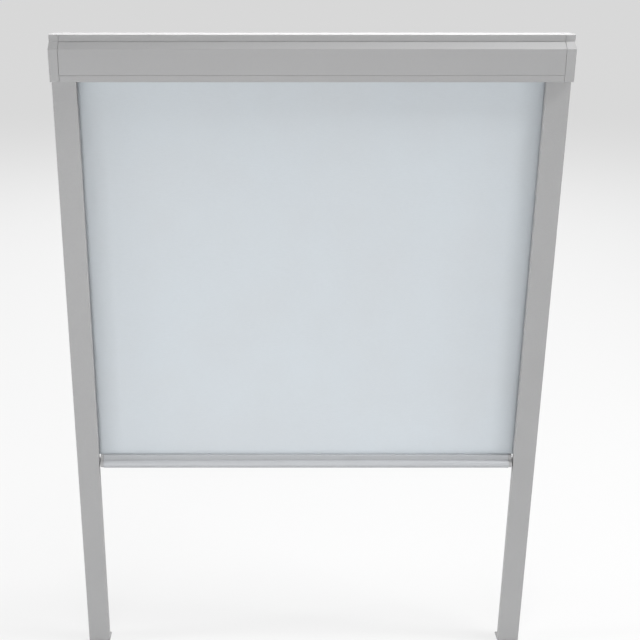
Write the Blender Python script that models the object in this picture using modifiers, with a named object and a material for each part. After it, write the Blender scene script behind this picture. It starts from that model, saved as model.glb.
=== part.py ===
# Skylight roller blind: a spring roller in an aluminium cassette, blackout fabric that runs in
# two side rails, and a bottom bar that stays where it is put. Metres. +Z runs up the window's
# slope and +Y towards the glass. The fabric hangs in the plane y = 0, halfway through the
# rails' depth, and the rails' feet stand on z = 0.

import math

import bmesh
import bpy
from mathutils import Matrix, Vector

# Overall
WIDTH = 0.612  # outside of one rail to the outside of the other
HEIGHT = 0.840  # foot of the rails to the top of the cassette
GAP = 0.0003  # left between pieces that touch

# Cassette: housing, cover and end caps
CASSETTE_HEIGHT = 0.053
CASSETTE_DEPTH = 0.040
CASSETTE_PROUD = 0.010  # how far its face stands before the rails
CASSETTE_WALL = 0.0015
CASSETTE_ROUND = 0.0010
TOP_STRIP = 0.0078  # flat strip above the bevel, in line with the rails' faces
BEVEL_HEIGHT = 0.0076
LIP_HEIGHT = 0.0076  # from the lower edge up to the groove
GROOVE_WIDTH = 0.0008
GROOVE_DEPTH = 0.0005
HOOK_HEIGHT = 0.0045
HOOK_WALL = 0.0012
EXIT_GAP = 0.0030  # from the fabric to the cover's lower return
NOSE_RADIUS = 0.0020  # rounded edge of the housing that guides the fabric
PORT_RADIUS = 0.0015  # screw channels in the housing
PORT_WALL = 0.0012
PORT_INSET = 0.0020  # port centre to the inner faces of its corner
PORT_MOUTH = 70  # degrees

CAP_LENGTH = 0.011  # the part of an end cap that shows from the front
CAP_PLATE = 0.0025
CAP_RIM = 0.0022
CAP_LUG_WALL = 0.0012
CAP_LUG_LENGTH = 0.004
CAP_FOOT_HEIGHT = 0.005  # lugs that locate the cap in the rail
CAP_FOOT_WALL = 0.0020
CAP_SCREW_LENGTH = 0.022
CAP_SCREW_RADIUS = 0.0012
CAP_SCREW_HEAD = 0.0022
CAP_SCREW_RIM = 0.0003
CAP_SCREW_SUNK = 0.0002
RECESS_REACH = 0.0012  # half of the cross recess
RECESS_BLADE = 0.00025
RECESS_DEPTH = 0.0008
SOCKET_RADIUS = 0.0075
SOCKET_LENGTH = 0.003
SOCKET_DEPTH = 0.0040  # blind hole for the pin and for the shaft's square end
FIXING_HOLE = 0.0021  # holes for the installer's screws
FIXING_SINK = 0.0034
CAP_FIXING_DROP = 0.010  # above and below the roller's axis
CAP_FIXING_INSET = 0.011  # behind the cassette's face

# Side rails
RAIL_FACE = 0.029
RAIL_DEPTH = 0.020
RAIL_WALL = 0.0015
RAIL_ROUND = 0.0005
RAIL_MOUTH = 0.006
RAIL_BACK = 0.022  # reach of the rear flange, kept out of sight behind the face
RAIL_HOLE_INSET = 0.080
PILE_BACKING = 0.0048
PILE_BACKING_WALL = 0.0008
PILE_WIDTH = 0.0024
PILE_CLEARANCE = 0.0003  # from the pile's tip to the bar's tongue
KEEPER_HEIGHT = 0.0014
KEEPER_WALL = 0.0008
KEEPER_REACH = 0.0006
FOOT_PLATE = 0.0025
FOOT_SPIGOT = 0.0095
FOOT_ROUND = 0.0006

# Fabric and roller
FABRIC_THICKNESS = 0.00035
FABRIC_EDGE = 0.012  # from the outside of the rail to the fabric's edge
FABRIC_SPARE = 0.150  # turns that stay on the tube when the blind is down
TUBE_RADIUS = 0.0125
TUBE_WALL = 0.0012
TUBE_END = 0.009  # from the outside of the end cap to the end of the tube
ROLL_CLEARANCE = 0.0010  # full roll to the housing's rear wall
ROLL_HEADROOM = 0.0065  # full roll to the housing's top wall
PLUG_LENGTH = 0.026
PLUG_FLANGE = 0.0015
PLUG_FLANGE_RADIUS = 0.0135
RUNNING = 0.0001  # clearance of a bore on its shaft
SHAFT_RADIUS = 0.0030
SHAFT_SQUARE = 0.0042
SHAFT_BEYOND = 0.0125  # past the driver
PIN_BEYOND = 0.002  # past the idle plug
SPRING_WIRE = 0.0006  # radius
SPRING_RADIUS = 0.0064
SPRING_LENGTH = 0.178
SPRING_TURNS = 24
SPRING_STEPS = 10  # to a turn
ANCHOR_ROOM = 0.008  # from the end plug to the anchor
ANCHOR_LENGTH = 0.010
ANCHOR_RADIUS = 0.0095
SPIGOT_LENGTH = 0.012
SPRING_GRIP = 0.008  # length of spring on each spigot
DRIVER_LENGTH = 0.016

# Bottom bar
BAR_BOTTOM = 0.2766  # above the rails' feet as drawn, half way down
BAR_NOSE = 0.0054  # radius of the grip edge
BAR_NOSE_CENTRE = 0.0060  # before the fabric
BAR_FRONT = 0.0055
BAR_BACK = 0.0050
BAR_NECK = 0.0068  # flat band above the grip edge
BAR_WALL = 0.0012
BAR_ROUND = 0.0005
BAR_SIDE_GAP = 0.0015  # from the bar's end piece to the rail
BAR_END_FLANGE = 0.0040
BAR_END_STEP = 0.0008  # how much smaller round the grip edge the end pieces are
BAR_SPIGOT = 0.012
HEM_RADIUS = 0.0015
HEM_DEPTH = 0.0035  # rod's centre below the top of the bar
HEM_CLEARANCE = 0.0004
HEM_MOUTH = 0.0014
TONGUE_WALL = 0.0030
TONGUE_HEIGHT = 0.0105
SHOE_HEIGHT = 0.026
SHOE_DROP = 0.014  # how far the shoe reaches below the bar
SHOE_CLEARANCE = 0.0005
SHOE_ROUND = 0.0008
PAD_WALL = 0.0020
PAD_RECESS = 0.0012
PAD_HEIGHT = 0.018
PAD_WIDTH = 0.010

# Rendering and meshing of round shapes
ROUND_STEPS = 32
SCREW_STEPS = 20
SHARP_ANGLE = math.radians(35)
FLAT_ANGLE = math.radians(1)
WELD = 0.000001

# Places that follow from the sizes
HALF = WIDTH / 2
RAIL_FRONT = -RAIL_DEPTH / 2
CASSETTE_FRONT = RAIL_FRONT - CASSETTE_PROUD
CASSETTE_BACK = CASSETTE_FRONT + CASSETTE_DEPTH
CASSETTE_BOTTOM = HEIGHT - CASSETTE_HEIGHT
STRIP_BOTTOM = HEIGHT - TOP_STRIP
BEVEL_BOTTOM = STRIP_BOTTOM - BEVEL_HEIGHT
CASSETTE_END = HALF - CAP_LENGTH - GAP
BAR_TOP = BAR_BOTTOM + 2 * BAR_NOSE + BAR_NECK
BAR_END = HALF - RAIL_FACE - BAR_SIDE_GAP - BAR_END_FLANGE - GAP
HEM_HEIGHT = BAR_TOP - HEM_DEPTH
PORT_PLACE = CASSETTE_WALL + PORT_INSET
ON_TUBE = FABRIC_SPARE + BAR_BOTTOM
FULL_LENGTH = FABRIC_SPARE + CASSETTE_BOTTOM
FABRIC_HALF = HALF - FABRIC_EDGE


def wound_radius(length):
    """Radius of the tube with this much fabric on it."""
    return math.sqrt(TUBE_RADIUS**2 + length * FABRIC_THICKNESS / math.pi)


ROLL_RADIUS = wound_radius(ON_TUBE)
FULL_ROLL_RADIUS = wound_radius(FULL_LENGTH)
ROLLER_Y = CASSETTE_BACK - CASSETTE_WALL - ROLL_CLEARANCE - FULL_ROLL_RADIUS
ROLLER_Z = HEIGHT - CASSETTE_WALL - ROLL_HEADROOM - FULL_ROLL_RADIUS
TUBE_HALF = HALF - TUBE_END
SOCKET_FACE = HALF - CAP_PLATE - SOCKET_LENGTH
PLUG_END = TUBE_HALF - PLUG_LENGTH
ANCHOR_START = PLUG_END - ANCHOR_ROOM
SPRING_START = ANCHOR_START - ANCHOR_LENGTH - SPIGOT_LENGTH + SPRING_GRIP
DRIVER_START = SPRING_START - SPRING_LENGTH + SPRING_GRIP
DRIVER_END = DRIVER_START - SPIGOT_LENGTH - DRIVER_LENGTH
SPIGOT_RADIUS = SPRING_RADIUS - SPRING_WIRE - GAP
NOSE_Y = FABRIC_THICKNESS / 2 + GAP + NOSE_RADIUS
NOSE_Z = CASSETTE_BOTTOM + NOSE_RADIUS


def clear_scene():
    for item in list(bpy.data.objects):
        bpy.data.objects.remove(item, do_unlink=True)


def new_collection(name):
    collection = bpy.data.collections.new(name)
    bpy.context.scene.collection.children.link(collection)
    return collection


clear_scene()
PARTS = new_collection("skylight_blind")
TOOLS = new_collection("cutters")


def finish(name, colour, roughness, metallic):
    material = bpy.data.materials.new(name)
    material.use_nodes = True
    shader = material.node_tree.nodes["Principled BSDF"]
    shader.inputs["Base Color"].default_value = (*colour, 1)
    shader.inputs["Roughness"].default_value = roughness
    shader.inputs["Metallic"].default_value = metallic
    return material


# Flat sections


def arc(centre, radius, start, end, steps):
    """Points on an arc, its angles in degrees."""
    points = []
    for step in range(steps + 1):
        angle = math.radians(start + (end - start) * step / steps)
        points.append((centre[0] + radius * math.cos(angle), centre[1] + radius * math.sin(angle)))
    return points


def rounded(corners, steps=3):
    """The outline through corners (a, b, radius), each rounded by its radius."""
    points = []
    for index, (a, b, radius) in enumerate(corners):
        if radius == 0:
            points.append((a, b))
            continue
        here = Vector((a, b))
        before = (Vector(corners[index - 1][:2]) - here).normalized()
        after = (Vector(corners[(index + 1) % len(corners)][:2]) - here).normalized()
        half = before.angle(after) / 2
        centre = here + (before + after).normalized() * radius / math.sin(half)
        first = here + before * radius / math.tan(half) - centre
        last = here + after * radius / math.tan(half) - centre
        turn = first.angle_signed(last)
        for step in range(steps + 1):
            points.append(tuple(centre + Matrix.Rotation(-turn * step / steps, 2) @ first))
    return points


def inset(corners, distance):
    """The corners of this clockwise outline moved inwards by a wall."""
    moved = []
    for index, corner in enumerate(corners):
        here = Vector(corner)
        before = (here - Vector(corners[index - 1])).normalized()
        after = (Vector(corners[(index + 1) % len(corners)]) - here).normalized()
        inwards = Vector((before.y, -before.x)) + Vector((after.y, -after.x))
        share = distance / (1 + before.dot(after))
        moved.append(tuple(here + inwards * share))
    return moved


# Solids


def add(name, mesh, material, location=(0, 0, 0), rotation=(0, 0, 0)):
    item = bpy.data.objects.new(name, mesh)
    PARTS.objects.link(item)
    item.location = location
    item.rotation_euler = rotation
    mesh.materials.clear()
    mesh.materials.append(material)
    return item


def solid_mesh(guide):
    """Turns a guide curve or profile into a welded mesh with whole flat faces, and removes it."""
    graph = bpy.context.evaluated_depsgraph_get()
    mesh = bpy.data.meshes.new_from_object(guide.evaluated_get(graph))
    bpy.data.objects.remove(guide)
    shape = bmesh.new()
    shape.from_mesh(mesh)
    bmesh.ops.remove_doubles(shape, verts=shape.verts, dist=WELD)
    bmesh.ops.dissolve_limit(
        shape, angle_limit=FLAT_ANGLE, verts=shape.verts, edges=shape.edges
    )
    bmesh.ops.recalc_face_normals(shape, faces=shape.faces)
    shape.to_mesh(mesh)
    shape.free()
    mesh.shade_smooth()
    mesh.set_sharp_from_angle(angle=SHARP_ANGLE)
    return mesh


def extruded(name, outlines, start, end, material, along="X"):
    """A length of constant section: (y, z) outlines run along X, (x, y) outlines along Z."""
    curve = bpy.data.curves.new(name, "CURVE")
    curve.dimensions = "2D"
    curve.fill_mode = "BOTH"
    curve.extrude = abs(end - start) / 2
    for outline in outlines:
        spline = curve.splines.new("POLY")
        spline.points.add(len(outline) - 1)
        spline.use_cyclic_u = True
        for point, (a, b) in zip(spline.points, outline):
            point.co = (a, b, 0, 1)
    guide = bpy.data.objects.new(name, curve)
    PARTS.objects.link(guide)
    mesh = solid_mesh(guide)
    middle = (start + end) / 2
    if along == "X":
        for vert in mesh.vertices:
            vert.co = vert.co.zxy
        return add(name, mesh, material, (middle, 0, 0))
    return add(name, mesh, material, (0, 0, middle))


def turned(name, profile, material, location, outwards, steps=ROUND_STEPS):
    """A turned piece about X. Its profile of (radius, distance outwards) runs down the outside
    from the outer end and, where there is a bore, back up it."""
    edges = [(i, i + 1) for i in range(len(profile) - 1)]
    if profile[0][0] > 0:
        edges.append((len(profile) - 1, 0))
    outline = bpy.data.meshes.new(name)
    outline.from_pydata([(radius, 0, height) for radius, height in profile], edges, [])
    guide = bpy.data.objects.new(name, outline)
    PARTS.objects.link(guide)
    screw = guide.modifiers.new("turn", "SCREW")
    screw.steps = screw.render_steps = steps
    screw.use_merge_vertices = True
    screw.merge_threshold = WELD
    return add(name, solid_mesh(guide), material, location, (0, outwards * math.pi / 2, 0))


def block(name, low, high, material):
    """A box between two corners."""
    mesh = bpy.data.meshes.new(name)
    shape = bmesh.new()
    bmesh.ops.create_cube(shape, size=1)
    shape.to_mesh(mesh)
    shape.free()
    size = [b - a for a, b in zip(low, high)]
    mesh.transform(Matrix.Diagonal((*size, 1)))
    return add(name, mesh, material, [(a + b) / 2 for a, b in zip(low, high)])


def as_tool(item):
    """Makes a piece a hidden helper of a Boolean."""
    PARTS.objects.unlink(item)
    TOOLS.objects.link(item)
    item.hide_render = True
    item.display_type = "WIRE"
    return item


def combine(target, operation, *others):
    """Boolean steps. The manifold solver keeps the flat ends of extrusions whole, where the exact
    one can lose thin triangles between corners that lie in line."""
    for other in others:
        modifier = target.modifiers.new(operation.lower(), "BOOLEAN")
        modifier.operation = operation
        modifier.solver = "MANIFOLD"
        modifier.object = as_tool(other)
    return target


def rounded_edges(item, width, segments=2):
    bevel = item.modifiers.new("edges", "BEVEL")
    bevel.width = width
    bevel.segments = segments
    bevel.limit_method = "ANGLE"
    return item


def hole(name, radius, sink_radius, face, reach, centre, outwards):
    """A cutter along X: countersunk at its face if its sink is wider, then straight."""
    over = 0.001
    sink = sink_radius - radius
    profile = [(0, over)]
    if sink > 0:
        profile += [(sink_radius + over, over), (radius, -sink)]
    else:
        profile += [(radius, over)]
    profile += [(radius, -reach), (0, -reach)]
    return turned(name, profile, CUTTER, (face, *centre), outwards)


# Finishes

SILVER = finish("silver_coat", (0.46, 0.46, 0.47), 0.42, 0.35)
CAP_SILVER = finish("silver_moulding", (0.45, 0.45, 0.46), 0.5, 0.15)
BAR_SILVER = finish("silver_bar", (0.50, 0.51, 0.53), 0.32, 0.5)
TUBE_METAL = finish("mill_aluminium", (0.62, 0.63, 0.64), 0.4, 0.9)
STEEL = finish("zinc_steel", (0.60, 0.60, 0.58), 0.35, 0.95)
SPRING_STEEL = finish("spring_steel", (0.32, 0.31, 0.30), 0.4, 0.9)
GREY_PLASTIC = finish("grey_plastic", (0.24, 0.25, 0.26), 0.5, 0.0)
WHITE_PLASTIC = finish("white_plastic", (0.78, 0.78, 0.76), 0.45, 0.0)
PILE_GREY = finish("grey_pile", (0.28, 0.28, 0.29), 0.9, 0.0)
FELT = finish("dark_felt", (0.06, 0.06, 0.065), 0.95, 0.0)
FABRIC = finish("blackout_fabric", (0.60, 0.63, 0.67), 0.85, 0.0)
CUTTER = finish("cutter", (1, 0, 1), 1, 0)


# Cassette


def screw_port(centre, mouth):
    """Round channel for a self-tapping screw in an inner corner, open towards its mouth."""
    outer = PORT_RADIUS + PORT_WALL
    contact = 135 - math.degrees(math.acos(PORT_INSET / outer))
    half = PORT_MOUTH / 2
    return (
        arc(centre, outer, mouth + contact, mouth + half, 4)
        + arc(centre, PORT_RADIUS, mouth + half, mouth - half + 360, 14)
        + arc(centre, outer, mouth - half, mouth - contact, 4)
    )


def port_centres():
    back = CASSETTE_BACK - PORT_PLACE
    return (back, CASSETTE_BOTTOM + PORT_PLACE), (back, HEIGHT - PORT_PLACE)


def housing_section():
    low_port, high_port = port_centres()
    strip_inside = RAIL_FRONT + CASSETTE_WALL
    flange = math.degrees(math.asin((CASSETTE_WALL - NOSE_RADIUS) / NOSE_RADIUS))
    outside = rounded(
        [
            (RAIL_FRONT, STRIP_BOTTOM, 0),
            (RAIL_FRONT, HEIGHT, CASSETTE_ROUND / 2),
            (CASSETTE_BACK, HEIGHT, CASSETTE_ROUND),
            (CASSETTE_BACK, CASSETTE_BOTTOM, CASSETTE_ROUND),
            (NOSE_Y, CASSETTE_BOTTOM, 0),
        ]
    )[:-1]
    return (
        outside
        + arc((NOSE_Y, NOSE_Z), NOSE_RADIUS, -90, -360 + flange, 12)
        + screw_port(low_port, 135)
        + screw_port(high_port, -135)
        + [(strip_inside, HEIGHT - CASSETTE_WALL), (strip_inside, STRIP_BOTTOM)]
    )


def cover_section():
    edge_y = RAIL_FRONT
    edge_z = STRIP_BOTTOM - GAP
    hook_front = RAIL_FRONT + CASSETTE_WALL + GAP
    hook_back = hook_front + HOOK_WALL
    slope = (edge_z - BEVEL_BOTTOM) / CASSETTE_PROUD
    drop = CASSETTE_WALL * math.hypot(1, slope)
    inside = CASSETTE_FRONT + CASSETTE_WALL
    groove = CASSETTE_BOTTOM + LIP_HEIGHT
    return rounded(
        [
            (edge_y, edge_z, CASSETTE_ROUND / 4),
            (hook_front, edge_z, 0),
            (hook_front, STRIP_BOTTOM + HOOK_HEIGHT, 0),
            (hook_back, STRIP_BOTTOM + HOOK_HEIGHT, 0),
            (hook_back, edge_z + slope * (hook_back - edge_y) - drop, 0),
            (inside, BEVEL_BOTTOM + slope * CASSETTE_WALL - drop, 0),
            (inside, CASSETTE_BOTTOM + CASSETTE_WALL, 0),
            (-EXIT_GAP, CASSETTE_BOTTOM + CASSETTE_WALL, CASSETTE_WALL / 3),
            (-EXIT_GAP, CASSETTE_BOTTOM, CASSETTE_WALL / 3),
            (CASSETTE_FRONT, CASSETTE_BOTTOM, CASSETTE_ROUND),
            (CASSETTE_FRONT, groove - GROOVE_WIDTH / 2, 0),
            (CASSETTE_FRONT + GROOVE_DEPTH, groove, 0),
            (CASSETTE_FRONT, groove + GROOVE_WIDTH / 2, 0),
            (CASSETTE_FRONT, BEVEL_BOTTOM, CASSETTE_ROUND),
        ]
    )


def cap_corners():
    """Outline of the cassette, clockwise seen along +X with Y to the right."""
    return [
        (CASSETTE_FRONT, CASSETTE_BOTTOM),
        (CASSETTE_FRONT, BEVEL_BOTTOM),
        (RAIL_FRONT, STRIP_BOTTOM),
        (RAIL_FRONT, HEIGHT),
        (CASSETTE_BACK, HEIGHT),
        (CASSETTE_BACK, CASSETTE_BOTTOM),
    ]


def end_cap(name, side):
    """One moulding: a cup with the cassette's outline, screw pillars, the roller's socket, a lug
    inside the cover and two lugs down into the rail."""
    face = side * HALF
    plate = side * (HALF - CAP_PLATE)
    mouth = side * (HALF - CAP_LENGTH)
    radii = [1, 1, 0.25, 0.5, 1, 1]
    outside = [(*corner, CASSETTE_ROUND * r) for corner, r in zip(cap_corners(), radii)]
    cap = extruded(name, [rounded(outside)], mouth, face, CAP_SILVER)
    inside = inset(cap_corners(), CAP_RIM)
    beyond = mouth - side * CAP_LENGTH
    combine(cap, "DIFFERENCE", extruded(name + "_inside", [inside], beyond, plate, CUTTER))

    pillar_radius = PORT_RADIUS + PORT_WALL
    pillar_length = CAP_LENGTH - CAP_PLATE - GAP
    for number, centre in enumerate(port_centres()):
        solid = [(0, CAP_PLATE / 2), (pillar_radius, CAP_PLATE / 2)]
        solid += [(pillar_radius, -pillar_length), (0, -pillar_length)]
        pillar = turned(
            f"{name}_pillar_{number}", solid, CUTTER, (plate, *centre), side, SCREW_STEPS
        )
        combine(cap, "UNION", pillar)

    solid = [(0, CAP_PLATE / 2), (SOCKET_RADIUS, CAP_PLATE / 2)]
    solid += [(SOCKET_RADIUS, -SOCKET_LENGTH), (0, -SOCKET_LENGTH)]
    axis = (ROLLER_Y, ROLLER_Z)
    combine(cap, "UNION", turned(name + "_socket", solid, CUTTER, (plate, *axis), side))
    combine(cap, "DIFFERENCE", socket_hole(name + "_socket_hole", side))

    lug_front = CASSETTE_FRONT + CASSETTE_WALL + GAP
    lug_end = mouth - side * CAP_LUG_LENGTH
    lug_root = mouth + side * CAP_LUG_LENGTH / 2
    lug = block(
        name + "_cover_lug",
        (min(lug_end, lug_root), lug_front, CASSETTE_BOTTOM + 2 * CASSETTE_WALL),
        (max(lug_end, lug_root), lug_front + CAP_LUG_WALL, BEVEL_BOTTOM - CASSETTE_WALL),
        CUTTER,
    )
    combine(cap, "UNION", lug)

    room = RAIL_DEPTH / 2 - RAIL_WALL - GAP
    inner = mouth + side * CAP_RIM / 2
    outer = side * (HALF - RAIL_WALL - 2 * GAP)
    for number, front in enumerate((-room, room - CAP_FOOT_WALL)):
        lug = block(
            f"{name}_rail_lug_{number}",
            (min(inner, outer), front, CASSETTE_BOTTOM - CAP_FOOT_HEIGHT),
            (max(inner, outer), front + CAP_FOOT_WALL, CASSETTE_BOTTOM + CAP_RIM / 2),
            CUTTER,
        )
        combine(cap, "UNION", lug)

    for number, centre in enumerate(port_centres()):
        radius = CAP_SCREW_RADIUS + GAP
        sink = CAP_SCREW_HEAD + CAP_SCREW_RIM + CAP_SCREW_SUNK + GAP * math.sqrt(2)
        tool = hole(f"{name}_bore_{number}", radius, sink, face, 2 * CAP_LENGTH, centre, side)
        combine(cap, "DIFFERENCE", tool)
    for number, shift in enumerate((-CAP_FIXING_DROP, CAP_FIXING_DROP)):
        centre = (CASSETTE_FRONT + CAP_FIXING_INSET, ROLLER_Z + shift)
        tool = hole(
            f"{name}_fixing_{number}", FIXING_HOLE, FIXING_HOLE, face, CAP_LENGTH / 2, centre, side
        )
        combine(cap, "DIFFERENCE", tool)
    return cap


def socket_hole(name, side):
    """Blind hole for the shaft's square end on the left and for the round pin on the right."""
    start = side * SOCKET_FACE
    if side > 0:
        axis = (ROLLER_Y, ROLLER_Z)
        return hole(name, SHAFT_RADIUS + GAP, 0, start, SOCKET_DEPTH, axis, -side)
    half = SHAFT_SQUARE / 2 + GAP
    return block(
        name,
        (start - SOCKET_DEPTH, ROLLER_Y - half, ROLLER_Z - half),
        (start + SOCKET_DEPTH, ROLLER_Y + half, ROLLER_Z + half),
        CUTTER,
    )


def cap_screw(name, side, centre):
    """Countersunk self-tapping screw with a cross recess."""
    radius = CAP_SCREW_RADIUS
    head = CAP_SCREW_HEAD
    profile = [
        (0, 0),
        (head, 0),
        (head, -CAP_SCREW_RIM),
        (radius, -CAP_SCREW_RIM - head + radius),
        (radius, -CAP_SCREW_LENGTH + 2 * radius),
        (radius / 3, -CAP_SCREW_LENGTH),
        (0, -CAP_SCREW_LENGTH),
    ]
    start = side * (HALF - CAP_SCREW_SUNK)
    screw = turned(name, profile, STEEL, (start, *centre), side, SCREW_STEPS)
    blades = ((RECESS_REACH, RECESS_BLADE), (RECESS_BLADE, RECESS_REACH))
    for number, (half_y, half_z) in enumerate(blades):
        tool = block(
            f"{name}_recess_{number}",
            (start - RECESS_DEPTH, centre[0] - half_y, centre[1] - half_z),
            (start + RECESS_DEPTH, centre[0] + half_y, centre[1] + half_z),
            CUTTER,
        )
        combine(screw, "DIFFERENCE", tool)
    return screw


def make_cassette():
    extruded("cassette_housing", [housing_section()], -CASSETTE_END, CASSETTE_END, SILVER)
    extruded("cassette_cover", [cover_section()], -CASSETTE_END, CASSETTE_END, SILVER)
    for side, word in ((-1, "left"), (1, "right")):
        end_cap("end_cap_" + word, side)
        for centre, level in zip(port_centres(), ("lower", "upper")):
            cap_screw(f"cap_screw_{word}_{level}", side, centre)


# Side rails


def pile_slot():
    return PILE_BACKING + 2 * GAP


def hook_edge(reach):
    """From the outside of the rail to the far side of a pile slot's inner wall."""
    return reach - RAIL_WALL - pile_slot() - KEEPER_WALL


def shoe_inner_edge():
    """From the outside of the rail to the shoe's inner side."""
    return hook_edge(RAIL_BACK) - SHOE_CLEARANCE


def flange(reach):
    """Half of a rail's section, from its outer corner by its lip to its outer wall, as corners
    (in from the outside, depth from the middle, radius). Keepers hold a pile strip by the lip."""
    top = RAIL_DEPTH / 2
    under = top - RAIL_WALL
    keeper = under - KEEPER_HEIGHT
    tip = keeper - KEEPER_WALL
    lip = reach - RAIL_WALL
    far = lip - pile_slot()
    return [
        (0, top, RAIL_ROUND),
        (reach, top, RAIL_ROUND),
        (reach, RAIL_MOUTH / 2, RAIL_ROUND),
        (lip, RAIL_MOUTH / 2, RAIL_ROUND),
        (lip, tip, 0),
        (lip - KEEPER_REACH, tip, 0),
        (lip - KEEPER_REACH, keeper, 0),
        (lip, keeper, 0),
        (lip, under, 0),
        (far, under, 0),
        (far, keeper, 0),
        (far + KEEPER_REACH, keeper, 0),
        (far + KEEPER_REACH, tip, 0),
        (far - KEEPER_WALL, tip, 0),
        (far - KEEPER_WALL, under, 0),
        (RAIL_WALL, under, 0),
    ]


def side_rail(name, side):
    """Extruded channel, open towards the daylight. Its rear flange is shorter than its face."""
    front = [(inwards, -depth, radius) for inwards, depth, radius in flange(RAIL_FACE)]
    section = rounded(front + flange(RAIL_BACK)[::-1], 2)
    outline = [(side * (HALF - inwards), y) for inwards, y in section]
    low = FOOT_PLATE + GAP
    high = CASSETTE_BOTTOM - GAP
    rail = extruded(name, [outline], low, high, SILVER, "Z")
    inner_face = side * (HALF - RAIL_WALL)
    for number, height in enumerate((RAIL_HOLE_INSET, high / 2, high - RAIL_HOLE_INSET)):
        tool = hole(
            f"{name}_hole_{number}",
            FIXING_HOLE,
            FIXING_SINK,
            inner_face,
            2 * RAIL_WALL,
            (0, height),
            -side,
        )
        combine(rail, "DIFFERENCE", tool)
    return rail


def pile_strip(name, side, reach, facing):
    """Woven backing and dense pile that closes on the fabric and on the bar's tongue."""
    middle = reach - RAIL_WALL - pile_slot() / 2
    back = RAIL_DEPTH / 2 - RAIL_WALL - GAP
    front = back - PILE_BACKING_WALL
    tip = TONGUE_WALL / 2 + PILE_CLEARANCE
    half = [
        (PILE_BACKING / 2, back),
        (PILE_BACKING / 2, front),
        (PILE_WIDTH / 2, front),
        (PILE_WIDTH / 2, tip),
    ]
    shape = half + [(-across, depth) for across, depth in half[::-1]]
    outline = [(side * (HALF - middle + across), facing * depth) for across, depth in shape]
    low = FOOT_PLATE + GAP
    return extruded(name, [outline], low, CASSETTE_BOTTOM - GAP, PILE_GREY, "Z")


def rail_foot(name, side):
    """Moulded plug: a plate under the rail and a spigot that stops the bar's shoe."""
    outer = side * HALF
    inner = side * (HALF - RAIL_FACE)
    depth = RAIL_DEPTH / 2
    plate = block(
        name, (min(outer, inner), -depth, 0), (max(outer, inner), depth, FOOT_PLATE), CAP_SILVER
    )
    rounded_edges(plate, FOOT_ROUND)
    room = depth - RAIL_WALL - GAP
    outer = side * (HALF - RAIL_WALL - GAP)
    inner = side * (HALF - shoe_inner_edge())
    spigot = block(
        name + "_spigot",
        (min(outer, inner), -room, FOOT_PLATE / 2),
        (max(outer, inner), room, FOOT_PLATE + FOOT_SPIGOT),
        CUTTER,
    )
    rounded_edges(spigot, FOOT_ROUND)
    return combine(plate, "UNION", spigot)


def make_rails():
    for side, word in ((-1, "left"), (1, "right")):
        side_rail("side_rail_" + word, side)
        pile_strip("pile_strip_front_" + word, side, RAIL_FACE, -1)
        pile_strip("pile_strip_rear_" + word, side, RAIL_BACK, 1)
        rail_foot("rail_foot_" + word, side)


# Fabric


def fabric_path():
    """Middle of the fabric in (y, z), from the back of the roll over the housing's rounded edge
    to the hem rod. The straight run touches both rounds, which lie on its two sides."""
    roll = ROLL_RADIUS + GAP + FABRIC_THICKNESS / 2
    nose = NOSE_Y
    span = Vector((NOSE_Y - ROLLER_Y, NOSE_Z - ROLLER_Z))
    away = span.normalized()
    lean = math.acos((roll + nose) / span.length)
    normal = Matrix.Rotation(lean, 2) @ away
    start = Vector((ROLLER_Y, ROLLER_Z)) + normal * roll
    landing = math.degrees(math.atan2(-normal.y, -normal.x))
    path = [tuple(start)]
    path += arc((NOSE_Y, NOSE_Z), nose, landing % 360, 180, 8)
    path.append((0, HEM_HEIGHT + HEM_RADIUS + GAP))
    return path


def thickened(path, thickness):
    """The closed outline of a strip round this path."""
    sides = [[], []]
    for index, point in enumerate(path):
        before = Vector(path[max(index - 1, 0)])
        after = Vector(path[min(index + 1, len(path) - 1)])
        way = (after - before).normalized()
        normal = Vector((-way.y, way.x)) * thickness / 2
        sides[0].append(tuple(Vector(point) + normal))
        sides[1].append(tuple(Vector(point) - normal))
    return sides[0] + sides[1][::-1]


def make_fabric():
    outline = thickened(fabric_path(), FABRIC_THICKNESS)
    extruded("fabric_drop", [outline], -FABRIC_HALF, FABRIC_HALF, FABRIC)


# Roller, turning as one


def ring(outer, bore, near, far):
    """Profile of a plain ring between two distances."""
    return [(outer, near), (outer, far), (bore, far), (bore, near)]


def end_plug(name, side):
    """Plug in the tube's end with a flange and a bore that turns on the shaft or pin."""
    body = TUBE_RADIUS - TUBE_WALL - GAP
    bore = SHAFT_RADIUS + RUNNING
    profile = [
        (PLUG_FLANGE_RADIUS, GAP + PLUG_FLANGE),
        (PLUG_FLANGE_RADIUS, GAP),
        (body, GAP),
        (body, -PLUG_LENGTH + PLUG_FLANGE),
        (body - PLUG_FLANGE / 2, -PLUG_LENGTH),
        (bore, -PLUG_LENGTH),
        (bore, GAP + PLUG_FLANGE),
    ]
    return turned(name, profile, WHITE_PLASTIC, (side * TUBE_HALF, ROLLER_Y, ROLLER_Z), side)


def make_roller():
    axis = (0, ROLLER_Y, ROLLER_Z)
    turned_pieces = [
        turned(
            "roller_tube",
            ring(TUBE_RADIUS, TUBE_RADIUS - TUBE_WALL, TUBE_HALF, -TUBE_HALF),
            TUBE_METAL,
            axis,
            1,
        ),
        turned(
            "fabric_roll",
            ring(ROLL_RADIUS, TUBE_RADIUS + GAP, FABRIC_HALF, -FABRIC_HALF),
            FABRIC,
            axis,
            1,
        ),
        end_plug("spring_end_plug", -1),
        end_plug("idle_plug", 1),
        spring_driver(),
    ]
    spindle = bpy.data.objects.new("roller_axis", None)
    PARTS.objects.link(spindle)
    spindle.location = axis
    hang_on(spindle, turned_pieces)


def hang_on(holder, pieces):
    """Parents pieces to a joint's empty where they are."""
    for piece in pieces:
        piece.parent = holder
        piece.matrix_parent_inverse = Matrix.Translation(holder.location).inverted()


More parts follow.
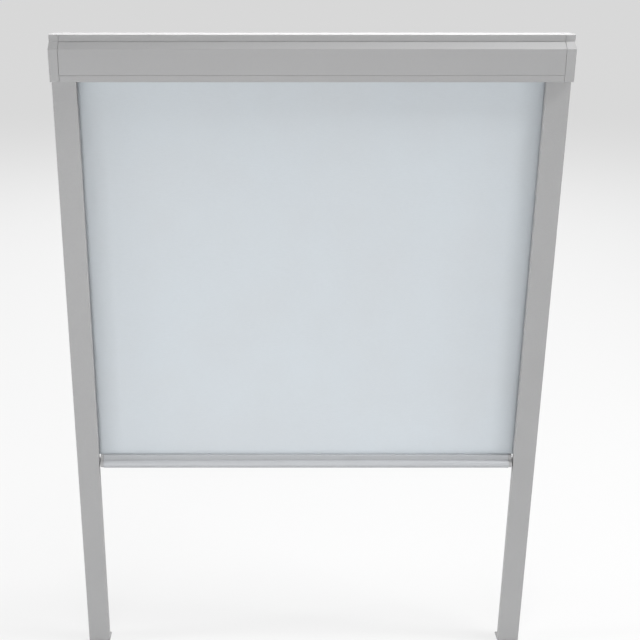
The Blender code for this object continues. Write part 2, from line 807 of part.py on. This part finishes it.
# Spring unit and pin, which do not turn


def spring_anchor():
    """Collar fixed on the shaft, with a spigot that the spring's outer end grips."""
    end = ANCHOR_START - ANCHOR_LENGTH
    bore = SHAFT_RADIUS + GAP
    profile = [
        (ANCHOR_RADIUS, ANCHOR_START),
        (ANCHOR_RADIUS, end),
        (SPIGOT_RADIUS, end),
        (SPIGOT_RADIUS, end - SPIGOT_LENGTH),
        (bore, end - SPIGOT_LENGTH),
        (bore, ANCHOR_START),
    ]
    return turned("spring_anchor", profile, GREY_PLASTIC, (0, ROLLER_Y, ROLLER_Z), -1)


def spring_driver():
    """Carrier keyed in the tube: its spigot holds the spring's inner end, and it turns on the
    end of the shaft."""
    root = DRIVER_START - SPIGOT_LENGTH
    body = TUBE_RADIUS - TUBE_WALL - GAP
    bore = SHAFT_RADIUS + RUNNING
    profile = [
        (SPIGOT_RADIUS, DRIVER_START),
        (SPIGOT_RADIUS, root),
        (body, root),
        (body, DRIVER_END),
        (bore, DRIVER_END),
        (bore, DRIVER_START),
    ]
    return turned("spring_driver", profile, WHITE_PLASTIC, (0, ROLLER_Y, ROLLER_Z), -1)


def torsion_spring():
    count = SPRING_TURNS * SPRING_STEPS + 1
    points = []
    for index in range(count):
        angle = 2 * math.pi * index / SPRING_STEPS
        x = SPRING_LENGTH * index / (count - 1) - SPRING_START
        y = ROLLER_Y + SPRING_RADIUS * math.cos(angle)
        z = ROLLER_Z + SPRING_RADIUS * math.sin(angle)
        points.append(Vector((x, y, z)))
    curve = bpy.data.curves.new("torsion_spring", "CURVE")
    curve.dimensions = "3D"
    curve.bevel_depth = SPRING_WIRE
    curve.bevel_resolution = 1
    curve.use_fill_caps = True
    curve.materials.append(SPRING_STEEL)
    spline = curve.splines.new("POLY")
    spline.points.add(count - 1)
    for point, place in zip(spline.points, points):
        point.co = (*place, 1)
    spring = bpy.data.objects.new("torsion_spring", curve)
    PARTS.objects.link(spring)
    least = min(
        (points[later] - place).length
        for index, place in enumerate(points)
        for later in range(index + SPRING_STEPS // 2, count)
    )
    print(f"torsion_spring: least gap to itself {(least - 2 * SPRING_WIRE) * 1000:.2f} mm")
    return spring


def spring_shaft():
    """Round rod whose square end sits in the left end cap, so that it can't turn."""
    start = SOCKET_FACE - GAP
    end = DRIVER_END - SHAFT_BEYOND
    profile = [(0, start), (SHAFT_RADIUS, start), (SHAFT_RADIUS, end), (0, end)]
    shaft = turned("spring_shaft", profile, STEEL, (0, ROLLER_Y, ROLLER_Z), -1)
    half = SHAFT_SQUARE / 2
    square = block(
        "spring_shaft_square",
        (-start - SOCKET_DEPTH, ROLLER_Y - half, ROLLER_Z - half),
        (-start + SHAFT_RADIUS, ROLLER_Y + half, ROLLER_Z + half),
        CUTTER,
    )
    return combine(shaft, "UNION", square)


def idle_pin():
    start = SOCKET_FACE + SOCKET_DEPTH - GAP
    end = PLUG_END - PIN_BEYOND
    chamfer = SHAFT_RADIUS / 6
    profile = [
        (0, start),
        (SHAFT_RADIUS - chamfer, start),
        (SHAFT_RADIUS, start - chamfer),
        (SHAFT_RADIUS, end + chamfer),
        (SHAFT_RADIUS - chamfer, end),
        (0, end),
    ]
    return turned("idle_pin", profile, STEEL, (0, ROLLER_Y, ROLLER_Z), 1)


def make_spring_unit():
    spring_shaft()
    spring_anchor()
    torsion_spring()
    idle_pin()


# Bottom bar


def bar_outline(step=0):
    """Outside of the bar with the round grip edge in front and the hem's keyhole on top. A step
    makes the grip edge and the underside smaller."""
    mouth = HEM_MOUTH / 2
    keyhole = HEM_RADIUS + HEM_CLEARANCE
    open_half = math.degrees(math.asin(mouth / keyhole))
    centre = BAR_BOTTOM + BAR_NOSE
    radius = BAR_NOSE - step
    bottom = centre - radius
    grip_top = centre + radius
    top = rounded(
        [
            (mouth, BAR_TOP, 0),
            (BAR_BACK, BAR_TOP, BAR_ROUND),
            (BAR_BACK, bottom, 2 * BAR_ROUND),
            (-BAR_NOSE_CENTRE, bottom, 0),
        ]
    )[:-1]
    grip = arc((-BAR_NOSE_CENTRE, centre), radius, -90, -270, 16)
    front = rounded(
        [(-BAR_FRONT, grip_top, 0), (-BAR_FRONT, BAR_TOP, BAR_ROUND), (-mouth, BAR_TOP, 0)]
    )
    slot = arc((0, HEM_HEIGHT), keyhole, 90 + open_half, 450 - open_half, 14)
    return top + grip + front + slot


def bar_hollow(wall):
    """The bar's chamber, with a wall all round."""
    radius = BAR_NOSE - wall
    back = BAR_BACK - wall
    low = BAR_BOTTOM + wall
    return [(back, low + 2 * radius), (back, low)] + arc(
        (-BAR_NOSE_CENTRE, BAR_BOTTOM + BAR_NOSE), radius, -90, -270, 12
    )


def bar_end(name, side):
    """One moulding: a flange that closes the bar, a spigot in its chamber, and a tongue through
    the rail's mouth to the shoe that slides in the rail."""
    inner = side * (BAR_END + GAP)
    outer = side * (HALF - RAIL_FACE - BAR_SIDE_GAP)
    end = extruded(name, [bar_outline(BAR_END_STEP)], inner, outer, CAP_SILVER)
    root = (inner + outer) / 2
    tip = inner - side * BAR_SPIGOT
    spigot = extruded(name + "_spigot", [bar_hollow(BAR_WALL + GAP)], tip, root, CUTTER)
    combine(end, "UNION", spigot)

    shoe_inner = side * (HALF - shoe_inner_edge())
    shoe_outer = side * (HALF - RAIL_WALL - GAP - PAD_WALL + PAD_RECESS)
    half = TONGUE_WALL / 2
    low = BAR_BOTTOM + BAR_WALL
    reach = shoe_inner + side * SHOE_ROUND * 2
    tongue = block(
        name + "_tongue",
        (min(root, reach), -half, low),
        (max(root, reach), half, low + TONGUE_HEIGHT),
        CUTTER,
    )
    combine(end, "UNION", tongue)
    room = RAIL_DEPTH / 2 - RAIL_WALL - SHOE_CLEARANCE
    bottom = BAR_BOTTOM - SHOE_DROP
    shoe = block(
        name + "_shoe",
        (min(shoe_inner, shoe_outer), -room, bottom),
        (max(shoe_inner, shoe_outer), room, bottom + SHOE_HEIGHT),
        CUTTER,
    )
    combine(end, "UNION", rounded_edges(shoe, SHOE_ROUND))
    combine(end, "DIFFERENCE", pad(name + "_recess", side, GAP, CUTTER))
    return end


def pad(name, side, margin, material):
    """The felt pad between the shoe and the rail's outer wall, or its recess with a margin."""
    face = HALF - RAIL_WALL - GAP
    inner = side * (face - PAD_WALL - margin)
    outer = side * (face + 4 * margin)
    middle = BAR_BOTTOM - SHOE_DROP + SHOE_HEIGHT / 2
    across = PAD_WIDTH / 2 + margin
    along = PAD_HEIGHT / 2 + margin
    return block(
        name,
        (min(inner, outer), -across, middle - along),
        (max(inner, outer), across, middle + along),
        material,
    )


def make_bar():
    pieces = [
        extruded(
            "bottom_bar", [bar_outline(), bar_hollow(BAR_WALL)], -BAR_END, BAR_END, BAR_SILVER
        ),
        extruded(
            "hem_rod",
            [arc((0, HEM_HEIGHT), HEM_RADIUS, 0, 330, 11)],
            -BAR_END,
            BAR_END,
            WHITE_PLASTIC,
        ),
    ]
    for side, word in ((-1, "left"), (1, "right")):
        pieces.append(bar_end("bar_end_" + word, side))
        pieces.append(pad("friction_pad_" + word, side, 0, FELT))
    slider = bpy.data.objects.new("bar_slide", None)
    PARTS.objects.link(slider)
    slider.location = (0, 0, BAR_BOTTOM + BAR_NOSE)
    hang_on(slider, pieces)


make_cassette()
make_rails()
make_fabric()
make_spring_unit()
make_roller()
make_bar()
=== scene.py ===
import math
import random

import bmesh
import bpy
import numpy as np
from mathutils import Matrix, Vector


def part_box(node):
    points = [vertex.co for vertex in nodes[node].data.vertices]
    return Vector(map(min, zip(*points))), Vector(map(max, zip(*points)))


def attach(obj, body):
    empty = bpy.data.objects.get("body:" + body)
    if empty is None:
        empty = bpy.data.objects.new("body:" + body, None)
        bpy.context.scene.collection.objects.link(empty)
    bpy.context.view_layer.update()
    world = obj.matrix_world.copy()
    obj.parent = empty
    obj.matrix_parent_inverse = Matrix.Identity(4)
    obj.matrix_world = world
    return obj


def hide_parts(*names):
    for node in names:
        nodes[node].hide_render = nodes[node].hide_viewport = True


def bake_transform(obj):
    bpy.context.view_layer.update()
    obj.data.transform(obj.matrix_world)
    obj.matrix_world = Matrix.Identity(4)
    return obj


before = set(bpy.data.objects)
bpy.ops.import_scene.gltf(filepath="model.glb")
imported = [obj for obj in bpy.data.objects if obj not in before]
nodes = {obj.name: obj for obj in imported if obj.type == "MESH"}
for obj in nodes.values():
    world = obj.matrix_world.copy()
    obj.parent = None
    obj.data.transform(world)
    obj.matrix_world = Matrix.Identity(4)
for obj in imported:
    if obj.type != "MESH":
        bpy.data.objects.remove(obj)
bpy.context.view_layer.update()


# The cassette. An extruded aluminium housing with a cover hooked over its front edge, both powder
# coated in satin silver. A moulded cap in the same silver grey closes each end, and two zinc-plated
# self-tapping screws hold it in the housing's screw channels.

def finish(name, metallic=0.0):
    """A material of this metalness, and its shader."""
    material = bpy.data.materials.new(name)
    material.use_nodes = True
    shader = material.node_tree.nodes["Principled BSDF"]
    shader.inputs["Metallic"].default_value = metallic
    return material, shader


def grain(material, size, stretch=(1, 1, 1), detail=2.0):
    """Random grain of this size in metres, drawn out along the axes by stretch."""
    tree = material.node_tree
    place = tree.nodes.new("ShaderNodeTexCoord")
    scale = tree.nodes.new("ShaderNodeMapping")
    scale.inputs["Scale"].default_value = [1 / (size * s) for s in stretch]
    noise = tree.nodes.new("ShaderNodeTexNoise")
    noise.inputs["Scale"].default_value = 1.0
    noise.inputs["Detail"].default_value = detail
    tree.links.new(place.outputs["Object"], scale.inputs["Vector"])
    tree.links.new(scale.outputs["Vector"], noise.inputs["Vector"])
    return noise.outputs["Fac"]


GRAIN_LOW, GRAIN_HIGH = 0.3, 0.7  # nearly all of a grain's values lie between these


def tint(material, factor, first, last, low=GRAIN_LOW, high=GRAIN_HIGH):
    """A colour that follows a factor from first at low to last at high."""
    ramp = material.node_tree.nodes.new("ShaderNodeValToRGB")
    ends = ramp.color_ramp.elements
    for end, place, colour in ((ends[0], low, first), (ends[1], high, last)):
        end.position = place
        end.color = (*colour, 1)
    material.node_tree.links.new(factor, ramp.inputs["Fac"])
    return ramp.outputs["Color"]


def shade(colour, share):
    """A colour made darker or lighter."""
    return [part * share for part in colour]


def over(material, below, above):
    """One colour multiplied by another."""
    mix = material.node_tree.nodes.new("ShaderNodeMix")
    mix.data_type = "RGBA"
    mix.blend_type = "MULTIPLY"
    mix.inputs[0].default_value = 1.0
    material.node_tree.links.new(below, mix.inputs[6])
    material.node_tree.links.new(above, mix.inputs[7])
    return mix.outputs[2]


def between(material, factor, low, high):
    """A number that follows a grain from low to high."""
    span = material.node_tree.nodes.new("ShaderNodeMapRange")
    span.inputs["From Min"].default_value = GRAIN_LOW
    span.inputs["From Max"].default_value = GRAIN_HIGH
    span.inputs["To Min"].default_value = low
    span.inputs["To Max"].default_value = high
    material.node_tree.links.new(factor, span.inputs["Value"])
    return span.outputs["Result"]


def relief(material, shader, height, depth, strength=1.0):
    """Raises the surface by a height map of this depth in metres."""
    bump = material.node_tree.nodes.new("ShaderNodeBump")
    bump.inputs["Distance"].default_value = depth
    bump.inputs["Strength"].default_value = strength
    material.node_tree.links.new(height, bump.inputs["Height"])
    material.node_tree.links.new(bump.outputs["Normal"], shader.inputs["Normal"])


def painted(name, colour, metallic, rough):
    """Satin silver coat: fine flake, a faint cloudiness and a slight orange peel."""
    material, shader = finish(name, metallic)
    links = material.node_tree.links
    flake = grain(material, 0.00035, detail=1.0)
    cloud = grain(material, 0.09)
    base = tint(material, flake, shade(colour, 0.93), shade(colour, 1.07))
    tone = tint(material, cloud, (0.97, 0.97, 0.97), (1, 1, 1))
    links.new(over(material, base, tone), shader.inputs["Base Color"])
    links.new(between(material, cloud, *rough), shader.inputs["Roughness"])
    shader.inputs["Specular IOR Level"].default_value = 0.25
    relief(material, shader, grain(material, 0.0016), 0.00003)
    return material


def moulded(name, colour):
    """Plastic with the fine matt texture of its mould."""
    material, shader = finish(name)
    links = material.node_tree.links
    texture = grain(material, 0.0004)
    base = tint(material, texture, shade(colour, 0.94), shade(colour, 1.05))
    links.new(base, shader.inputs["Base Color"])
    links.new(between(material, grain(material, 0.03), 0.45, 0.55), shader.inputs["Roughness"])
    relief(material, shader, texture, 0.00004)
    return material


def plated(name, dark, light, rough, stretch=(1, 1, 1)):
    """Bare or plated metal, mottled or drawn."""
    material, shader = finish(name, 1.0)
    links = material.node_tree.links
    streak = grain(material, 0.0012, stretch)
    links.new(tint(material, streak, dark, light), shader.inputs["Base Color"])
    links.new(between(material, streak, *rough), shader.inputs["Roughness"])
    relief(material, shader, streak, 0.00001)
    return material


WELD_GAP = 0.00001
EDGE_EASE = 0.00015
FLAT_ANGLE, EDGE_ANGLE = math.radians(1), math.radians(40)


def clad(material, *names, edge=EDGE_EASE):
    """Gives CAD nodes their finish, and takes the sharpness off their edges."""
    for name in names:
        node = nodes[name]
        for slot in node.material_slots:
            slot.material = material
        node.modifiers.new("joined", "WELD").merge_threshold = WELD_GAP
        if edge:
            faces = node.modifiers.new("whole_faces", "DECIMATE")
            faces.decimate_type = "DISSOLVE"
            faces.angle_limit = FLAT_ANGLE
            eased = node.modifiers.new("eased_edges", "BEVEL")
            eased.width = edge
            eased.segments = 2
            eased.limit_method = "ANGLE"
            eased.angle_limit = EDGE_ANGLE
        node.modifiers.new("smooth_rounds", "WEIGHTED_NORMAL")


SIDES = ("left", "right")

silver = painted("silver_coat", (0.336, 0.336, 0.339), 0.06, (0.48, 0.56))
cap_silver = painted("silver_moulding", (0.346, 0.346, 0.349), 0.03, (0.5, 0.58))
zinc = plated("zinc_plate", (0.50, 0.50, 0.49), (0.68, 0.68, 0.65), (0.25, 0.4))
clad(silver, "cassette_housing", "cassette_cover")
for side in SIDES:
    clad(cap_silver, f"end_cap_{side}")
    clad(zinc, f"cap_screw_{side}_lower", f"cap_screw_{side}_upper")


# The roller. A drawn aluminium tube with moulded end plugs turns on a steel shaft at the left,
# which carries the torsion spring between a fixed anchor and a driver in the tube, and on a steel
# pin at the right. The fabric that isn't drawn down is wound on the tube.

drawn_tube = plated(
    "mill_aluminium", (0.56, 0.57, 0.58), (0.70, 0.71, 0.72), (0.3, 0.42), stretch=(40, 1, 1)
)
drawn_wire = plated("spring_steel", (0.22, 0.21, 0.20), (0.42, 0.40, 0.38), (0.3, 0.45))
turned_steel = plated(
    "zinc_steel", (0.50, 0.50, 0.48), (0.68, 0.67, 0.65), (0.28, 0.4), stretch=(20, 1, 1)
)
grey_plastic = moulded("grey_plastic", (0.24, 0.25, 0.26))
white_plastic = moulded("white_plastic", (0.78, 0.78, 0.75))
clad(drawn_tube, "roller_tube")
clad(drawn_wire, "torsion_spring", edge=0)
clad(turned_steel, "spring_shaft", "idle_pin")
clad(white_plastic, "spring_end_plug", "idle_plug", "spring_driver")
clad(grey_plastic, "spring_anchor")


def blackout_cloth():
    """Close plain weave with a smooth pale coating on it: the threads only just show, and painted
    shade darkens the weave's hollows.
    """
    material, shader = finish("blackout_fabric")
    tree = material.node_tree
    links = tree.links
    thread_pitch = 0.00045
    place = tree.nodes.new("ShaderNodeTexCoord")
    waves = []
    for direction in ("X", "Z"):
        wave = tree.nodes.new("ShaderNodeTexWave")
        wave.bands_direction = direction
        wave.inputs["Scale"].default_value = math.pi / (10 * thread_pitch)
        wave.inputs["Distortion"].default_value = 0.6
        wave.inputs["Detail Scale"].default_value = 3.0
        links.new(place.outputs["Object"], wave.inputs["Vector"])
        waves.append(wave.outputs["Fac"])
    weave = tree.nodes.new("ShaderNodeMath")
    weave.operation = "MAXIMUM"
    links.new(waves[0], weave.inputs[0])
    links.new(waves[1], weave.inputs[1])
    slub = grain(material, 0.0006, (9, 1, 1))
    cloud = grain(material, 0.12)
    # Painted shade: the weave's hollows are coloured darker than its crowns.
    shaded_hollow, crown = (0.507, 0.546, 0.578), (0.548, 0.590, 0.624)
    base = tint(material, weave.outputs["Value"], shaded_hollow, crown, low=0.0, high=1.0)
    threads = tint(material, slub, (0.97, 0.97, 0.97), (1, 1, 1))
    tone = tint(material, cloud, (0.98, 0.97, 0.965), (1, 1, 1), low=0.35, high=0.65)
    coated = over(material, over(material, base, threads), tone)
    links.new(coated, shader.inputs["Base Color"])
    links.new(between(material, cloud, 0.62, 0.72), shader.inputs["Roughness"])
    shader.inputs["Sheen Weight"].default_value = 0.15
    shader.inputs["Sheen Roughness"].default_value = 0.5
    relief(material, shader, weave.outputs["Value"], 0.00004, 0.6)
    return material


cloth_thickness = 0.00033


def sheet_mesh(name, path, columns, material, left, right):
    """The middle surface of cloth along (y, z) points, from its left edge to its right one."""
    across = np.linspace(left, right, columns + 1)
    points = [(x, y, z) for y, z in path for x in across]
    row = columns + 1
    faces = [
        (r * row + c, r * row + c + 1, (r + 1) * row + c + 1, (r + 1) * row + c)
        for r in range(len(path) - 1)
        for c in range(columns)
    ]
    mesh = bpy.data.meshes.new(name)
    mesh.from_pydata(points, [], faces)
    mesh.shade_smooth()
    mesh.materials.append(material)
    cloth = bpy.data.objects.new(name, mesh)
    bpy.context.scene.collection.objects.link(cloth)
    thick = cloth.modifiers.new("thickness", "SOLIDIFY")
    thick.thickness = cloth_thickness
    thick.offset = 0
    return cloth


cloth_low, cloth_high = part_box("fabric_drop")
roll_low, roll_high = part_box("fabric_roll")
tube_low, tube_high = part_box("roller_tube")
axis_y = (roll_low.y + roll_high.y) / 2
axis_z = (roll_low.z + roll_high.z) / 2
tube_radius = (tube_high.z - tube_low.z) / 2
roll_radius = (roll_high.z - roll_low.z) / 2

# The cloth leaves the roll where it can run straight on to the housing's rounded edge, the nose.
nose_y, nose_z, nose_radius = 0.002475, 0.789, 0.002475
outer_radius = roll_radius + cloth_thickness / 2
inner_radius = tube_radius + cloth_thickness / 2
span = Vector((nose_y - axis_y, nose_z - axis_z))
leaving = span.angle_signed(Vector((1, 0))) + math.acos((outer_radius + nose_radius) / span.length)

cloth = blackout_cloth()
turn_pitch, steps_per_turn = 0.00035, 48
turns = (outer_radius - inner_radius) / turn_pitch
steps = round(turns * steps_per_turn)
winding = []
for step in range(steps + 1):
    angle = leaving + 2 * math.pi * turns * step / steps
    radius = outer_radius - (outer_radius - inner_radius) * step / steps
    winding.append((axis_y + radius * math.cos(angle), axis_z + radius * math.sin(angle)))
wound = sheet_mesh("wound_fabric", winding, 4, cloth, cloth_low.x, cloth_high.x)
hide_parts("fabric_roll")
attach(wound, "roller")


# The side rails. Extruded aluminium channels in the cassette's silver, screwed to the window at
# three places each, with a silver-grey moulded plug in the lower end. Woven-backed pile strips
# slide into slots on both sides of the mouth and close on the fabric's edge.

def pile_yarn():
    """Dense grey yarn, flecked."""
    material, shader = finish("grey_pile")
    links = material.node_tree.links
    fleck = grain(material, 0.0005)
    base = tint(material, fleck, (0.21, 0.21, 0.22), (0.35, 0.35, 0.36))
    links.new(base, shader.inputs["Base Color"])
    links.new(between(material, fleck, 0.8, 0.95), shader.inputs["Roughness"])
    shader.inputs["Sheen Weight"].default_value = 0.3
    relief(material, shader, grain(material, 0.00015), 0.0001)
    return material


def woven_backing():
    """Stiff woven tape under the pile."""
    material, shader = finish("pile_backing")
    links = material.node_tree.links
    ribs = grain(material, 0.0005, (1, 1, 0.4))
    base = tint(material, ribs, (0.16, 0.16, 0.17), (0.26, 0.26, 0.27))
    links.new(base, shader.inputs["Base Color"])
    links.new(between(material, ribs, 0.5, 0.7), shader.inputs["Roughness"])
    relief(material, shader, ribs, 0.0001)
    return material


tape_thickness = 0.0008
tuft_pitch, tuft_row_gap = 0.0013, 0.00075
tuft_root_depth = 0.00005  # how far a tuft starts inside the tape
tuft_rings = ((0, 0.00028, 0.0004), (0.6, 0.00036, 0.0006), (1, 0.0003, 0.0005))
tuft_corners = ((-1, -1), (1, -1), (1, 1), (-1, 1))
tuft_lean_x, tuft_lean_z, tuft_ragged = 0.00012, 0.0002, 0.08


def tuft(shape, x, z, root_y, tip_y, facing):
    """One tuft from its root to its tip: four-sided rings at shares of its length, each with half
    its width in x and z."""
    lean_x = draw.uniform(-tuft_lean_x, tuft_lean_x)
    lean_z = draw.uniform(-tuft_lean_z, tuft_lean_z)
    tip = tip_y + (root_y - tip_y) * draw.uniform(0.0, tuft_ragged)
    rings = []
    for share, half_x, half_z in tuft_rings:
        y = root_y + (tip - root_y) * share - facing * tuft_root_depth * (share == 0)
        centre_x, centre_z = x + lean_x * share, z + lean_z * share
        rings.append([
            shape.verts.new((centre_x + a * half_x, y, centre_z + b * half_z))
            for a, b in tuft_corners
        ])
    for near, far in zip(rings, rings[1:]):
        for i in range(4):
            face = shape.faces.new((near[i], near[i - 1], far[i - 1], far[i]))
            face.material_index = 1
    for ring in (rings[0], rings[-1][::-1]):
        shape.faces.new(ring).material_index = 1


def pile_strip(name, facing, yarn, backing):
    """Three rows of tufts on a tape. Each tuft leans its own way and flares to a ragged tip."""
    low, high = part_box(name)
    if facing < 0:
        back_y, root_y, tip_y = low.y, low.y + tape_thickness, high.y
    else:
        back_y, root_y, tip_y = high.y, high.y - tape_thickness, low.y
    middle = (low.x + high.x) / 2
    shape = bmesh.new()
    for vert in bmesh.ops.create_cube(shape, size=1)["verts"]:
        vert.co.x = middle + vert.co.x * (high.x - low.x)
        vert.co.y = (back_y + root_y) / 2 + vert.co.y * tape_thickness
        vert.co.z = (low.z + high.z) / 2 + vert.co.z * (high.z - low.z)
    bmesh.ops.bevel(shape, geom=shape.edges[:], offset=EDGE_EASE, segments=1, affect="EDGES")
    count = int((high.z - low.z) / tuft_pitch)
    for row in (-1, 0, 1):
        for number in range(count):
            x = middle + row * tuft_row_gap
            z = low.z + tuft_pitch * (number + 0.5 + 0.25 * row)
            tuft(shape, x, z, root_y, tip_y, facing)
    bmesh.ops.recalc_face_normals(shape, faces=shape.faces)
    mesh = bpy.data.meshes.new(name + "_tufted")
    shape.to_mesh(mesh)
    shape.free()
    mesh.materials.append(backing)
    mesh.materials.append(yarn)
    strip = bpy.data.objects.new(name + "_tufted", mesh)
    bpy.context.scene.collection.objects.link(strip)
    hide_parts(name)
    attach(strip, "frame")


draw = random.Random(7)
yarn = pile_yarn()
backing = woven_backing()
for side in SIDES:
    clad(silver, f"side_rail_{side}")
    clad(cap_silver, f"rail_foot_{side}")
    pile_strip(f"pile_strip_front_{side}", -1, yarn, backing)
    pile_strip(f"pile_strip_rear_{side}", 1, yarn, backing)


# The bottom bar. A hollow aluminium extrusion in satin silver with a round grip edge. A silver-grey
# moulded piece at each end carries a shoe inside the rail, and a felt pad on the shoe rubs on the
# rail, so that the bar stays where it is put.

def felt():
    """Pressed dark wool felt."""
    material, shader = finish("dark_felt")
    links = material.node_tree.links
    fibre = grain(material, 0.0004, (1, 1, 3), 4.0)
    base = tint(material, fibre, (0.04, 0.04, 0.043), (0.09, 0.09, 0.095))
    links.new(base, shader.inputs["Base Color"])
    links.new(between(material, fibre, 0.85, 1.0), shader.inputs["Roughness"])
    shader.inputs["Sheen Weight"].default_value = 0.4
    relief(material, shader, fibre, 0.0002)
    return material


felt_ease, felt_wear = 0.0003, 0.00006


def felt_pad(name, material):
    """A cut block of felt with soft, slightly uneven faces."""
    low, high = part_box(name)
    centre, size = (low + high) / 2, high - low
    shape = bmesh.new()
    bmesh.ops.create_cube(shape, size=1)
    for vert in shape.verts:
        vert.co = centre + Vector(a * b for a, b in zip(vert.co, size))
    bmesh.ops.bevel(shape, geom=shape.edges[:], offset=felt_ease, segments=2, affect="EDGES")
    bmesh.ops.subdivide_edges(shape, edges=shape.edges[:], cuts=5, use_grid_fill=True)
    for vert in shape.verts:
        inwards = (centre - vert.co).normalized()
        vert.co += inwards * draw.uniform(0, felt_wear)
    mesh = bpy.data.meshes.new(name + "_felt")
    shape.to_mesh(mesh)
    shape.free()
    mesh.shade_smooth()
    mesh.materials.append(material)
    pad = bpy.data.objects.new(name + "_felt", mesh)
    bpy.context.scene.collection.objects.link(pad)
    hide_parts(name)
    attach(pad, "bar")


bar_silver = painted("silver_bar", (0.392, 0.402, 0.417), 0.15, (0.44, 0.52))
dark_felt = felt()
clad(bar_silver, "bottom_bar")
clad(white_plastic, "hem_rod")
for side in SIDES:
    clad(cap_silver, f"bar_end_{side}")
    felt_pad(f"friction_pad_{side}", dark_felt)


# The drop. The blackout fabric comes off the back of the roll, turns down over the housing's
# rounded edge and hangs between the rails. The spring keeps it taut. Its hem goes round the rod
# in the bar's keyhole slot. The hem is as long as the rod, and travels whole with the bar.

rod_low, rod_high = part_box("hem_rod")
rod_z = (rod_low.z + rod_high.z) / 2
top_z = 0.787  # just under the nose, where the cloth starts to hang free
bar_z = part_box("bottom_bar")[1].z
exposed = top_z - bar_z
seam_z = bar_z - 0.0005
reach = 0.01  # how far before the cloth the blend's two ends lie

roll_point = (
    axis_y + outer_radius * math.cos(leaving),
    axis_z + outer_radius * math.sin(leaving),
)
landing = (leaving + math.pi) % (2 * math.pi)
nose = [
    (nose_y + nose_radius * math.cos(angle), nose_z + nose_radius * math.sin(angle))
    for angle in np.linspace(landing, math.pi, 9)
]
slant = [
    tuple(Vector(roll_point).lerp(Vector(nose[0]), share)) for share in np.linspace(0, 1, 7)[:-1]
]
drop = slant + nose
for share in np.linspace(0, 1, 73):
    # The slight belly makes the blend's smooth step follow the bar in even parts.
    ease = 0.5 - math.sin(math.asin(1 - 2 * share) / 3)
    belly = -reach * (ease - share)
    drop.append((belly, top_z - exposed * share))
drop.append((0, seam_z))

loop_radius, loop_start, loop_end = 0.00168, 115, 420
loop = [
    (loop_radius * math.cos(angle), rod_z + loop_radius * math.sin(angle))
    for angle in np.radians(np.linspace(loop_start, loop_end, 15))
]
cut_edge = (0.00036, bar_z - 0.0004)
hem_run = [(0, seam_z), *loop, cut_edge]

hem = sheet_mesh("fabric_hem", hem_run, 12, cloth, rod_low.x, rod_high.x)
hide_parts("fabric_drop")
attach(hem, "bar")

fabric = sheet_mesh("drawn_fabric", drop, 12, cloth, cloth_low.x, cloth_high.x)
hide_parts("fabric_drop")
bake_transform(fabric)


# The floor, the lamps and the camera. A plain pale floor in a pale room, with soft lamps before the
# blind, behind it, high above it, beside its top and far out at its sides. The floor and the room
# are pale where they are seen, and their own light on the blind is weak.

def lamp(name, place, aim, width, height, power):
    """A soft rectangular lamp of this many watts that faces its aim."""
    light = bpy.data.lights.new(name, "AREA")
    light.shape = "RECTANGLE"
    light.size = width
    light.size_y = height
    light.energy = power
    item = bpy.data.objects.new(name, light)
    bpy.context.scene.collection.objects.link(item)
    item.location = place
    item.rotation_euler = (Vector(aim) - Vector(place)).to_track_quat("-Z", "Y").to_euler()


lamp("front_lamp", (-0.15, -1.65, 0.45), (0, 0, 0.4), 1.4, 0.24, 16.2)
lamp("high_lamp", (0.3, -0.32, 4.2), (0, 0, 0.5), 1.2, 0.3, 42)
lamp("side_lamp", (0.95, -0.11, 1.55), (0, 0, 0.5), 0.6, 0.1, 11.5)
lamp("rear_lamp", (0, 2.6, 2.6), (0, 0, 0.3), 2.4, 1.0, 100)
lamp("left_lamp", (-2.0, -0.16, 0.75), (0, 0, 0.4), 0.3, 0.9, 24)
lamp("right_lamp", (2.0, -0.16, 1.3), (0, 0, 0.4), 0.3, 0.9, 24)


def shown(tree):
    """One where the camera, a gloss or a clear piece sees the surface, and nought for its light
    on the object."""
    path = tree.nodes.new("ShaderNodeLightPath")
    either = path.outputs["Is Camera Ray"]
    for ray in ("Is Glossy Ray", "Is Transmission Ray"):
        larger = tree.nodes.new("ShaderNodeMath")
        larger.operation = "MAXIMUM"
        tree.links.new(either, larger.inputs[0])
        tree.links.new(path.outputs[ray], larger.inputs[1])
        either = larger.outputs["Value"]
    return either


def by_ray(tree, socket, plain, seen):
    """Gives a socket one grey for its light on the object and another where it is seen."""
    mix = tree.nodes.new("ShaderNodeMix")
    mix.data_type = "RGBA"
    mix.inputs[6].default_value = (plain, plain, plain, 1)
    mix.inputs[7].default_value = (seen, seen, seen, 1)
    tree.links.new(shown(tree), mix.inputs[0])
    tree.links.new(mix.outputs[2], socket)


world = bpy.data.worlds.new("room")
bpy.context.scene.world = world
world.use_nodes = True
room = world.node_tree.nodes["Background"]
room.inputs["Strength"].default_value = 1.0
by_ray(world.node_tree, room.inputs["Color"], plain=0.15, seen=0.73)

floor_mesh = bpy.data.meshes.new("floor")
shape = bmesh.new()
bmesh.ops.create_grid(shape, x_segments=8, y_segments=8, size=30)
shape.to_mesh(floor_mesh)
shape.free()
floor = bpy.data.objects.new("floor", floor_mesh)
bpy.context.scene.collection.objects.link(floor)
floor_paint, shader = finish("floor_paint")
shader.inputs["Roughness"].default_value = 0.9
shader.inputs["Specular IOR Level"].default_value = 0.0
by_ray(floor_paint.node_tree, shader.inputs["Base Color"], plain=0.7, seen=0.18)
by_ray(floor_paint.node_tree, shader.inputs["Emission Color"], plain=0.0, seen=0.66)
shader.inputs["Emission Strength"].default_value = 1.0
floor_mesh.materials.append(floor_paint)

camera_data = bpy.data.cameras.new("camera")
camera = bpy.data.objects.new("camera", camera_data)
bpy.context.scene.collection.objects.link(camera)
camera.location = (-0.0514, -1.2675, 0.9405)
camera.rotation_euler = (math.radians(70.23), 0, 0)
camera_data.sensor_width = 36
camera_data.lens = 59.06
camera_data.shift_x = 0.0816
bpy.context.scene.camera = camera
bpy.context.scene.view_settings.view_transform = "Standard"
